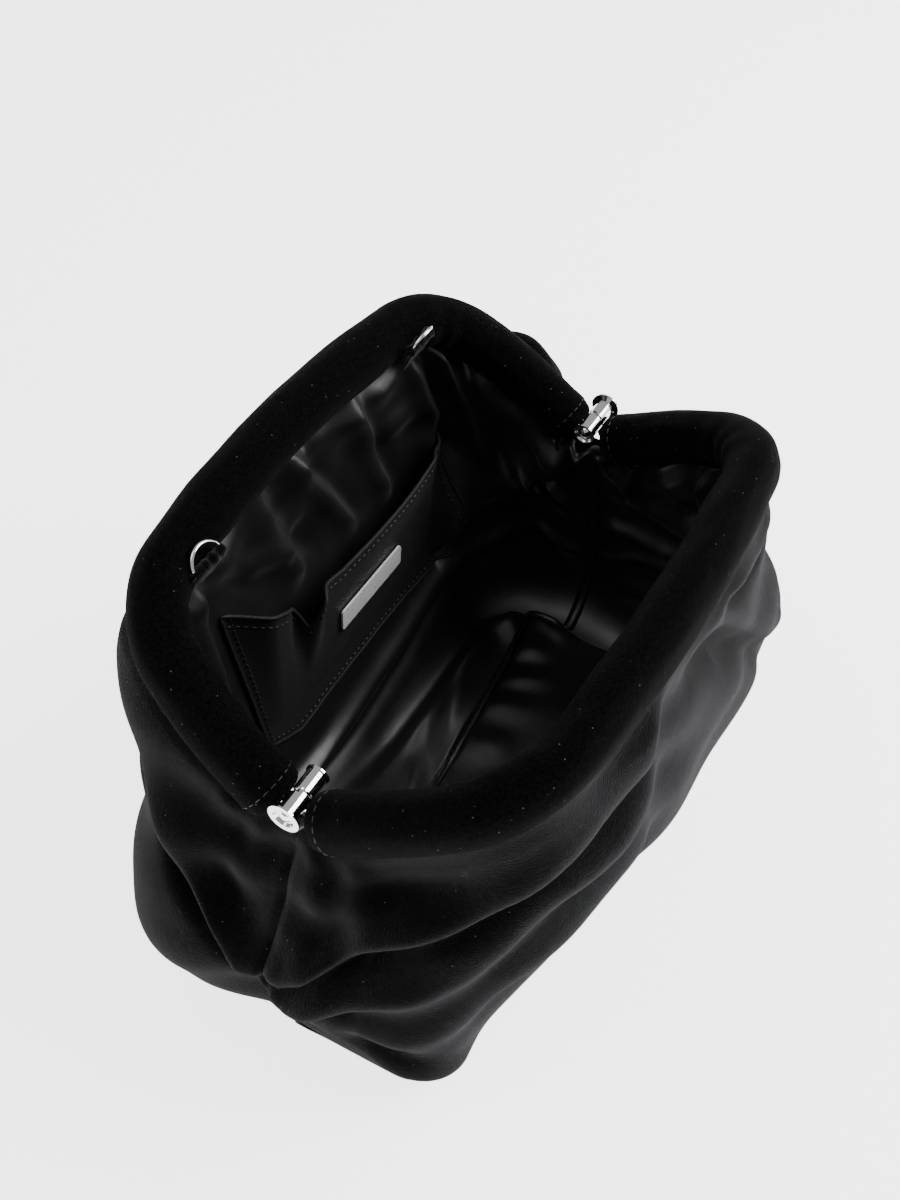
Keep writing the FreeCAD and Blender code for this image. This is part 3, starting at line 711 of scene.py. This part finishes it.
def sleeve_radii(side, x, d, near):
    """Radii round the sleeve at x, d along it and near to one of its ends."""
    inner = 0.5 - 0.5 * np.sin(AROUND)
    corner = math.exp(-((abs(x) - 96 * MM) / (16 * MM))**2)
    pleats = np.sin(d / (2.1 * MM) + 0.8 * math.sin(d / (7 * MM))) * 0.45 * MM * corner * inner**2
    lump = np.array([noise.noise(Vector((d * 45, 2.1 * math.cos(a), 2.1 * math.sin(a) + 9 * side)))
                     for a in AROUND]) * 0.55 * MM
    hem_step = 0.3 * MM * (1 - step_up(near, HEM - 0.6 * MM, HEM + 0.8 * MM))
    lip = 0.8 * MM * (1 - step_up(near, 0, 1.6 * MM))
    wave = 0.2 * MM * np.sin(3 * AROUND + 2 * side) * (1 - step_up(near, 0, 14 * MM))
    by_ring = math.exp(-((abs(x) - RING_PLACE) / (13 * MM))**4)
    pressed = 1.1 * MM * by_ring * np.clip(0.9 - np.sin(AROUND), 0, 1)
    plain = ROLL_RADIUS + 0.45 * MM
    return plain + pleats + lump * step_up(near, 6 * MM, 18 * MM) + hem_step - lip + wave - pressed


def roll(side, name):
    points, normals, far = sleeve_line()

    def ring(index, radii, shift=0.0):
        along = np.array([-normals[index][1], normals[index][0]])
        centre = points[index] + along * shift
        x = centre[0] + radii * np.sin(AROUND) * normals[index][0]
        v = centre[1] + radii * np.sin(AROUND) * normals[index][1]
        return placed(side, x, v, ROLL_OFFSET + radii * np.cos(AROUND))

    uneven = 0.25 * MM * np.sin(3 * AROUND)
    rings = [ring(0, radius + uneven, -past) for past, radius in ROLL_END]
    for index in range(ROLL_POINTS):
        d = far[index]
        rings.append(ring(index, sleeve_radii(side, points[index][0], d, min(d, far[-1] - d))))
    rings += [ring(ROLL_POINTS - 1, radius + uneven, past) for past, radius in reversed(ROLL_END)]
    grid = np.array(rings)
    return grid_object(name, grid, -side, SHADED_ROLL_VELVET, closed=True), far, grid


front_roll, front_far, front_rings = roll(FRONT, "front_padded_roll")
rear_roll, rear_far, rear_rings = roll(REAR, "rear_padded_roll")


# ---------------------------------------------------------------- stitches and soft edges
STITCH_SIDES = 6
# how far along the stitch, and its thickness there
STITCH_PROFILE = ((0, 0.15), (0.15, 0.8), (0.5, 1.0), (0.85, 0.8), (1, 0.15))


def stitches(name, line, length, gap, radius):
    """A row of thread stitches along a line of points, as one mesh."""
    line = np.array(line)
    far = lengths_along(line)
    points = []
    faces = []
    at = gap
    while at + length < far[-1]:
        start, end = (np.array([np.interp(d, far, line[:, k]) for k in range(3)])
                      for d in (at, at + length))
        run = (end - start) / (np.linalg.norm(end - start) + 1e-12)
        side_way = np.cross(run, (0, 0, 1.0) if abs(run[2]) < 0.9 else (1.0, 0, 0))
        side_way /= np.linalg.norm(side_way)
        up_way = np.cross(side_way, run)
        first = len(points)
        for share, swell in STITCH_PROFILE:
            centre = start + (end - start) * share
            for step in range(STITCH_SIDES):
                a = step * 2 * math.pi / STITCH_SIDES
                points.append(centre + radius * swell * (side_way * math.cos(a) + up_way * math.sin(a)))
        for ring in range(len(STITCH_PROFILE) - 1):
            for step in range(STITCH_SIDES):
                a = first + ring * STITCH_SIDES + step
                b = first + ring * STITCH_SIDES + (step + 1) % STITCH_SIDES
                faces.append((a, b, b + STITCH_SIDES, a + STITCH_SIDES))
        last = len(points) - STITCH_SIDES
        faces.append(tuple(first + k for k in reversed(range(STITCH_SIDES))))
        faces.append(tuple(last + k for k in range(STITCH_SIDES)))
        at += length + gap
    return mesh_object(name, points, faces, THREAD)


def cross_frame(line):
    """Sideways and upward directions all along a line."""
    along = directions(line)
    sideways = np.cross(along, (0, 0, 1.0))
    sideways /= np.linalg.norm(sideways, axis=1)[:, None] + 1e-12
    return sideways, np.cross(sideways, along)


def cord(name, line, radius, sections, material_used, rough=0.0):
    """A soft round edge along a line of points, closed at both ends."""
    sideways, up = cross_frame(line)
    count = len(line)
    grid = np.zeros((count, sections, 3))
    for i in range(count):
        taper = math.sin(math.pi / 2 * min(1.0, (min(i, count - 1 - i) + 0.3) / 3))
        for j in range(sections):
            a = 2 * math.pi * j / sections
            r = radius * taper * (1 + rough * noise.noise(Vector((i * 0.3, math.cos(a), math.sin(a)))))
            grid[i, j] = line[i] + r * (sideways[i] * math.cos(a) + up[i] * math.sin(a))
    return grid_object(name, grid, FRONT, material_used, closed=True)


def shifted_forward(line, amount):
    return line + amount * np.array([0, -1, 0])


# ---------------------------------------------------------------- slip pocket
POCKET_LEFT = -58 * MM
POCKET_RIGHT = 86 * MM
POCKET_COLUMNS = 150
POCKET_ROWS = 70
POCKET_LIFT = 0.9 * MM
NOTCH = -24 * MM
NOTCH_DEPTH = 17 * MM
# the pocket's lower edge and its mouth, as x and z
POCKET_FOOT = ([POCKET_LEFT, -38 * MM, POCKET_RIGHT], [51 * MM, 43 * MM, 47 * MM])
POCKET_MOUTH = ([POCKET_LEFT, -30 * MM, 0, 40 * MM, POCKET_RIGHT],
                [127 * MM, 114 * MM, 107 * MM, 109 * MM, 113 * MM])
# the plane that the pocket hangs in, as z and y, where its lining doesn't stand in front of it
POCKET_PLANE = ([43 * MM, 118 * MM], [59.9 * MM, 57.2 * MM])
POCKET_SEWN = 16 * MM
PLATE_X, PLATE_Z = 22.5 * MM, 76 * MM
PLATE_HALF_LENGTH, PLATE_HALF_HEIGHT = 24 * MM, 6 * MM

lining_tree = BVHTree.FromObject(rear_lining, bpy.context.evaluated_depsgraph_get())


def lining_y(x, z):
    """How far back the rear lining is at a place on it."""
    hit = lining_tree.ray_cast(Vector((x, 0, z)), Vector((0, 1, 0)))
    return hit[0].y if hit[0] else 60 * MM


def pocket_relief(x, z, top):
    """How far the pocket's cloth comes forward: it gapes at the right and is pleated at the notch."""
    gape = 4 * MM * step_up(z, top - 26 * MM, top) * hill(x, 45 * MM, 38 * MM)
    fold = 5 * MM * hill(x, NOTCH + 5 * MM, 5 * MM) - 3 * MM * hill(x, NOTCH - 5 * MM, 4 * MM)
    ripple = noise.noise(Vector((x * 35, z * 30, 4))) * 1.2 * MM
    past_x = max(abs(x - PLATE_X) - PLATE_HALF_LENGTH, 0)
    past_z = max(abs(z - PLATE_Z) - PLATE_HALF_HEIGHT, 0)
    near_plate = step_up(math.hypot(past_x, past_z), 0, 12 * MM)
    return gape + fold * step_up(z, 60 * MM, top) + ripple * near_plate


def pocket():
    grid = np.zeros((POCKET_ROWS, POCKET_COLUMNS, 3))
    for j in range(POCKET_COLUMNS):
        across = POCKET_LEFT + (POCKET_RIGHT - POCKET_LEFT) * j / (POCKET_COLUMNS - 1)
        low = np.interp(across, *POCKET_FOOT)
        top = np.interp(across, *POCKET_MOUTH)
        top -= NOTCH_DEPTH * math.exp(-abs((across - NOTCH) / (4 * MM))**1.3)
        drawn_in = 5 * MM * math.copysign(1, across) * max(0, abs(across - 13 * MM) / (71 * MM) - 0.3)
        for i in range(POCKET_ROWS):
            z = top + (low - top) * i / (POCKET_ROWS - 1)
            x = across - drawn_in * i / POCKET_ROWS
            on_wall = lining_y(x, z) - POCKET_LIFT
            from_side = min(x - POCKET_LEFT, POCKET_RIGHT - x)
            inside = float(step_up(from_side, 0, POCKET_SEWN) * step_up(z - low, 0, POCKET_SEWN))
            hanging = min(np.interp(z, *POCKET_PLANE), on_wall)
            y = (1 - inside) * on_wall + inside * (hanging - pocket_relief(x, z, top))
            grid[i, j] = (x, y, z)
    return grid_object("pocket_cloth", grid, REAR, TWILL), grid


pocket_piece, pocket_grid = pocket()
STITCH, STITCH_GAP = 2.2 * MM, 1.0 * MM


def pocket_edging():
    """The pocket's mouth is turned over, and its other sides are sewn down."""
    mouth = resampled(shifted_forward(pocket_grid[0], 0.3 * MM), 200)
    outline = np.vstack([pocket_grid[:, 0], pocket_grid[-1, :], pocket_grid[::-1, -1]])
    beside = np.vstack([pocket_grid[:, 3], pocket_grid[-4, :], pocket_grid[::-1, -4]])
    return (cord("pocket_hem", mouth, 0.75 * MM, 10, TWILL),
            stitches("pocket_stitches", shifted_forward(beside, 0.5 * MM), STITCH, STITCH_GAP, 0.3 * MM),
            cord("pocket_sewn_edge", resampled(outline, 260), 0.7 * MM, 10, TWILL),
            stitches("pocket_hem_stitches", shifted_forward(pocket_grid[5], 0.35 * MM), STITCH, STITCH_GAP,
                     0.25 * MM))


pocket_hem, pocket_stitches, pocket_edge, hem_stitches = pocket_edging()


# ---------------------------------------------------------------- seams of the lining
SEAM_POINTS = 420
SEAM_STITCH_ROW = 1.2
# half across and height of the raised seam, in mm: two welts with a groove between them
SEAM_HALF_PROFILE = [(-2.6, -0.8), (-2.2, 0.2), (-1.7, 1.0), (-1.2, 1.4), (-0.7, 1.1)]


def seam_cells():
    """Cells of the lining's grid along the seam: down one end, over the floor, up the other."""
    rows = front_lining_grid.shape[0]
    start = int(WALL_ROWS * 0.22)
    down = [(i, 1) for i in range(start, rows - 2)]
    over = [(rows - 1, j) for j in range(2, COUNT - 2)]
    back_up = [(i, COUNT - 2) for i in range(rows - 3, start, -1)]
    return down + over + back_up


def floor_seam():
    """The raised seam that joins the two halves of the lining, and its two rows of stitches."""
    inward = -normals_of(front_lining_grid, FRONT)
    cells = seam_cells()
    line = resampled(eased(np.array([front_lining_grid[cell] for cell in cells]), 4), SEAM_POINTS)
    out = resampled(eased(np.array([inward[cell] for cell in cells]), 30), SEAM_POINTS)
    out /= np.linalg.norm(out, axis=1)[:, None]
    along = directions(line)
    out = out - along * (out * along).sum(1)[:, None]
    out /= np.linalg.norm(out, axis=1)[:, None]
    across = np.cross(along, out)
    mirrored = [(-a, h) for a, h in reversed(SEAM_HALF_PROFILE)]
    profile = SEAM_HALF_PROFILE + [(0, 0.5)] + mirrored + [(0, -0.9)]
    strip = np.stack([line + across * a * MM + out * h * MM for a, h in profile], 1)
    strip[..., 2] = np.maximum(strip[..., 2], 1.4 * MM)
    rows = [line + across * a * MM + out * 1.45 * MM for a in (-SEAM_STITCH_ROW, SEAM_STITCH_ROW)]
    return grid_object("lining_seam", strip, REAR, SATIN, closed=True), rows


seam_piece, seam_rows = floor_seam()
seam_stitches = [stitches("lining_seam_stitches_%d" % k, row, STITCH, 1.1 * MM, 0.28 * MM)
                 for k, row in enumerate(seam_rows)]


def welt():
    """A satin welt that shows along the inside of the rear roll's right leg."""
    line = rim_line(REAR, 400, 9.4 * MM, -52, LINING_RIM[2])[292:372]
    return cord("rear_welt", resampled(eased(line, 3), 90), 1.5 * MM, 12, SATIN, rough=0.5)


rear_welt = welt()


def roll_stitches(name, far, rings):
    """A ring of stitches round each end of a roll, through the hem of its sleeve."""
    made = []
    for which, depth in (("left", far[-1] - 5.5 * MM), ("right", 5.5 * MM)):
        ring = rings[len(ROLL_END) + int(np.argmin(np.abs(far - depth)))]
        centre = ring.mean(0)
        line = centre + (ring - centre) * 1.004
        line = np.vstack([line, line[:1]])
        made.append(stitches(name + "_" + which, line, 2.4 * MM, 1.2 * MM, 0.2 * MM))
    return made


front_stitches = roll_stitches("front_roll_stitches", front_far, front_rings)
rear_stitches = roll_stitches("rear_roll_stitches", rear_far, rear_rings)


# ---------------------------------------------------------------- ring tabs
TAB_V, TAB_W = 75 * MM, 3 * MM
TAB_EYE = 1.85 * MM
TAB_HALF_WIDTH = 8.2 * MM
TAB_HALF_THICKNESS = 0.45 * MM
TAB_POINTS = 60
TAB_COLUMNS = 22


def tab_path():
    """The tab seen from its side: from under the roll, around the ring's bar, and back."""
    path = [(TAB_V - 0.6 * MM, 13.0 * MM), (TAB_V - 0.2 * MM, 9.0 * MM)]
    for step in range(17):
        a = math.radians(40 + 280 * step / 16)
        path.append((TAB_V + TAB_EYE * math.sin(a), TAB_W + TAB_EYE * math.cos(a)))
    path += [(TAB_V - 2.4 * MM, 9.0 * MM), (TAB_V - 3.2 * MM, 13.0 * MM)]
    return eased(resampled(np.array(path), TAB_POINTS), 2)


def ring_tab(name, end):
    """A folded strip of velvet around the ring's bar, its ends under the roll."""
    path = tab_path()
    along = directions(path)
    out = np.stack([along[:, 1], -along[:, 0]], -1)
    layers = []
    for shift in (TAB_HALF_THICKNESS, -TAB_HALF_THICKNESS):
        grid = np.zeros((TAB_POINTS, TAB_COLUMNS, 3))
        for j in range(TAB_COLUMNS):
            across = (j / (TAB_COLUMNS - 1) - 0.5) * 2
            x = end * RING_PLACE + across * TAB_HALF_WIDTH
            edge = 1 - 0.7 * abs(across)**8
            for i in range(TAB_POINTS):
                bump = noise.noise(Vector((x * 420, i * 0.06, end * 3))) * 0.8 * MM
                v, w = path[i] + out[i] * (shift * edge + bump)
                grid[i, j] = (x, v, w)
        layers.append(grid)
    loop = np.concatenate([layers[0], layers[1][:, ::-1]], 1)
    return grid_object(name, placed(REAR, loop[..., 0], loop[..., 1], loop[..., 2]), FRONT, TAB_VELVET,
                       closed=True)


left_tab = ring_tab("left_velvet_tab", -1)
right_tab = ring_tab("right_velvet_tab", 1)


# ---------------------------------------------------------------- turned edges under the hinges
HEM_POINTS = 60
HEM_SECTIONS = 20
HEM_REACH = 34


def hem_line(end):
    """From one roll to the other under a hinge, midway between the velvet's rim and the lining's."""
    halves = []
    for side in (FRONT, REAR):
        middle = 0.5 * (rim_line(side, 400, *LINING_RIM) + rim_line(side, 400, *VELVET_RIM))
        halves.append(middle[::-1] if end > 0 else middle)
    front, rear = halves
    return resampled(eased(np.vstack([front[HEM_REACH:0:-1], rear[:HEM_REACH]]), 6), HEM_POINTS)


def mouth_hem(name, end):
    """The turned, ruffled edge of the cloth under a hinge, between the ends of the two rolls."""
    line = hem_line(end)
    sideways, up = cross_frame(line)
    # under the right hinge the gathered cloth hangs inwards
    hang = np.array([-5 * MM, 2 * MM, -4 * MM]) if end > 0 else np.zeros(3)
    grid = np.zeros((HEM_POINTS, HEM_SECTIONS, 3))
    for i in range(HEM_POINTS):
        ruffle = up[i] * 2.0 * MM * math.sin(i * 0.75) + sideways[i] * 1.6 * MM * math.sin(i * 0.52 + 1)
        centre = line[i] + ruffle + hang * hill(i, 34, 14)
        for j in range(HEM_SECTIONS):
            a = 2 * math.pi * j / HEM_SECTIONS
            r = (2.8 + 0.6 * noise.noise(Vector((i * 0.3, math.cos(a), math.sin(a))))) * MM
            grid[i, j] = centre + r * (sideways[i] * math.cos(a) * 1.2 + up[i] * math.sin(a) * 0.7)
    return grid_object(name, grid, FRONT, SATIN, closed=True)


left_hem = mouth_hem("left_mouth_hem", -1)
right_hem = mouth_hem("right_mouth_hem", 1)


# ---------------------------------------------------------------- metal, from the CAD
def finish_node(name, material_used):
    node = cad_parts[name]
    node.data.materials.clear()
    node.data.materials.append(material_used)


for word in ("left", "right"):
    for kind in ("outer_knuckle", "inner_knuckle", "hinge_pin", "d_ring"):
        finish_node(word + "_" + kind, CHROME)
for name in ("plate_backing", "front_frame_tube", "rear_frame_tube", "front_closing_magnets",
             "rear_closing_magnets"):
    finish_node(name, DARK_METAL)
finish_node("name_plate", PLATE)

# ---------------------------------------------------------------- what moves with what
HIDDEN = {
    "front_velvet": ["front_body_panel", "front_stiffener"],
    "rear_velvet": ["rear_body_panel", "rear_stiffener"],
    "front_lining": ["front_lining_panel"],
    "rear_lining": ["rear_lining_panel"],
    "front_padded_roll": ["front_frame_sleeve", "front_foam_roll"],
    "rear_padded_roll": ["rear_frame_sleeve", "rear_foam_roll"],
    "pocket_cloth": ["slip_pocket"],
    "left_velvet_tab": ["left_ring_tab"],
    "right_velvet_tab": ["right_ring_tab"],
}
for name, hidden in HIDDEN.items():
    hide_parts(*hidden)

for piece, side, body in ((front_velvet, FRONT, "front_frame"), (front_lining, FRONT, "front_frame"),
                          (rear_velvet, REAR, "rear_frame"), (rear_lining, REAR, "rear_frame")):
    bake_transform(piece)

RIDERS = {
    "front_frame": [front_roll, *front_stitches],
    "rear_frame": [rear_roll, left_tab, right_tab, *rear_stitches, rear_welt],
    "bag": [pocket_piece, pocket_hem, pocket_edge, pocket_stitches, hem_stitches, seam_piece,
            *seam_stitches, left_hem, right_hem],
}
for body, pieces in RIDERS.items():
    for piece in pieces:
        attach(piece, body)


# ---------------------------------------------------------------- floor, light and camera
def pale_floor():
    bpy.ops.mesh.primitive_plane_add(size=12)
    made = bpy.context.object
    made.name = "floor"
    pale = material("pale_floor", (0.95, 0.95, 0.95), 0.9, Specular_IOR_Level=0.1, Emission_Strength=3.0)
    shader_of(pale).inputs["Emission Color"].default_value = (1, 1, 1, 1)
    made.data.materials.append(pale)
    return made


def studio_world():
    world = bpy.data.worlds.new("studio")
    world.use_nodes = True
    background = world.node_tree.nodes["Background"]
    background.inputs["Color"].default_value = (1, 1, 1, 1)
    background.inputs["Strength"].default_value = 0.42
    return world


def soft_light(name, place, target, size, power):
    data = bpy.data.lights.new(name, "AREA")
    data.shape = "RECTANGLE"
    data.size, data.size_y = size
    data.energy = power
    lamp = bpy.data.objects.new(name, data)
    scene.collection.objects.link(lamp)
    aim = Vector(target) - Vector(place)
    lamp.matrix_world = Matrix.Translation(place) @ aim.to_track_quat("-Z", "Y").to_matrix().to_4x4()


def photo_camera(target, azimuth, elevation, tilt, distance):
    """A camera that looks at target from azimuth and elevation, turned by tilt round its view."""
    lens = bpy.data.cameras.new("camera")
    lens.lens = 43.9
    lens.sensor_width = 36
    made = bpy.data.objects.new("camera", lens)
    scene.collection.objects.link(made)
    back = Vector((math.sin(azimuth) * math.cos(elevation), -math.cos(azimuth) * math.cos(elevation),
                   math.sin(elevation)))
    right = Vector((math.cos(azimuth), math.sin(azimuth), 0))
    up = back.cross(right)
    right, up = (right * math.cos(tilt) + up * math.sin(tilt), up * math.cos(tilt) - right * math.sin(tilt))
    turned = Matrix((right, up, back)).transposed().to_4x4()
    turned.translation = target + back * distance
    made.matrix_world = turned
    return made


scene = bpy.context.scene
pale_floor()
scene.world = studio_world()
soft_light("window", place=(0.7, -0.75, 1.05), target=(0, 0, 0.05), size=(0.9, 0.9), power=26)
soft_light("overhead", place=(-0.5, 0.5, 1.2), target=(0, 0, 0.05), size=(0.8, 0.8), power=4)
soft_light("side", place=(1.0, -1.0, 0.55), target=(0, 0.05, 0.12), size=(0.8, 0.6), power=3.5)
scene.camera = photo_camera(Vector((0.008, 0.011, 0.1072)), azimuth=math.radians(-60.29),
                            elevation=math.radians(47.75), tilt=math.radians(0.48), distance=0.5739)
